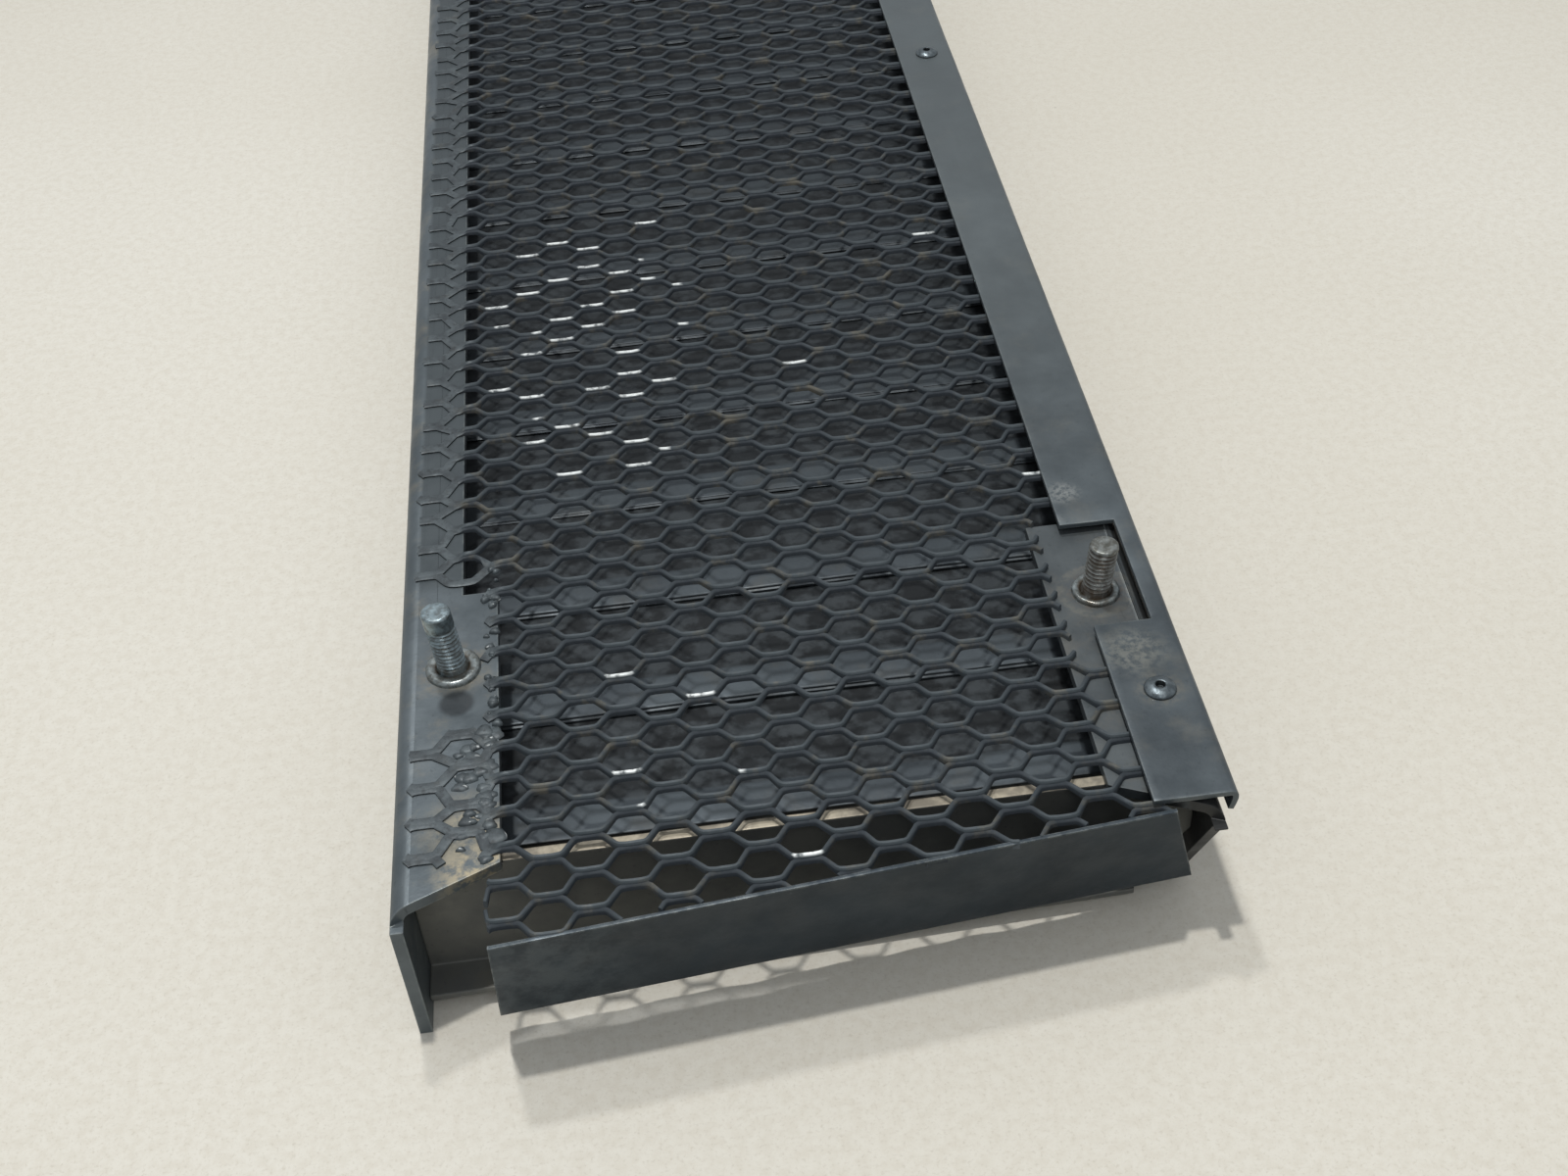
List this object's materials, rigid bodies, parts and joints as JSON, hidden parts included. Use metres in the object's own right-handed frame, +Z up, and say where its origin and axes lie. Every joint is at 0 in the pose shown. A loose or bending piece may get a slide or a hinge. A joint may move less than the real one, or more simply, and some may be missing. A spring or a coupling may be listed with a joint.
{
  "type": "fireplace screen",
  "caption": "Long flat louvred screen panel: folded steel rails, bent blades, expanded metal on top, riveted cover strip and upright threaded studs.",
  "frame": {"origin": "on the bench, under the middle of the panel", "axes": "+X across the panel from the left rail to the cover strip, +Y along its length away from the near end, +Z up, out of the mesh side"},
  "size_m": [0.156, 0.6118, 0.05],
  "materials": {
    "satin_sheet": "satin mill finish with fine rolling marks",
    "dark_sheet": "darkened satin sheet with light wear on the edges",
    "strip_sheet": "satin sheet with faint handling marks",
    "expanded_metal": "dark expanded strands with bright rubbed bonds",
    "inner_sheet": "dull dusty sheet",
    "louvre_sheet": "dull sheet with settled dust",
    "stud_zinc": "bright plated thread",
    "collar_weld": "bright pressed ring with some brown discolouration",
    "rivet_steel": "dark satin dome"
  },
  "bodies": {
    "root": {"left_rail": "satin_sheet", "right_rail": "dark_sheet", "cover_strip": "strip_sheet", "mesh_screen": "expanded_metal", "front_lip": "dark_sheet", "rear_lip": "dark_sheet", "front_crossbar": "inner_sheet", "rear_crossbar": "inner_sheet", "stud_front_left": "stud_zinc", "collar_front_left": "collar_weld", "stud_front_right": "stud_zinc", "collar_front_right": "collar_weld", "stud_rear_left": "stud_zinc", "collar_rear_left": "collar_weld", "stud_rear_right": "stud_zinc", "collar_rear_right": "collar_weld", "rivets": "rivet_steel", "louvre_01": "louvre_sheet", "louvre_02": "louvre_sheet", "louvre_03": "louvre_sheet", "louvre_04": "louvre_sheet", "louvre_05": "louvre_sheet", "louvre_06": "louvre_sheet", "louvre_07": "louvre_sheet", "louvre_08": "louvre_sheet", "louvre_09": "louvre_sheet", "louvre_10": "louvre_sheet", "louvre_11": "louvre_sheet", "louvre_12": "louvre_sheet", "louvre_13": "louvre_sheet", "louvre_14": "louvre_sheet", "louvre_15": "louvre_sheet", "louvre_16": "louvre_sheet"}
  },
  "joints": []
}
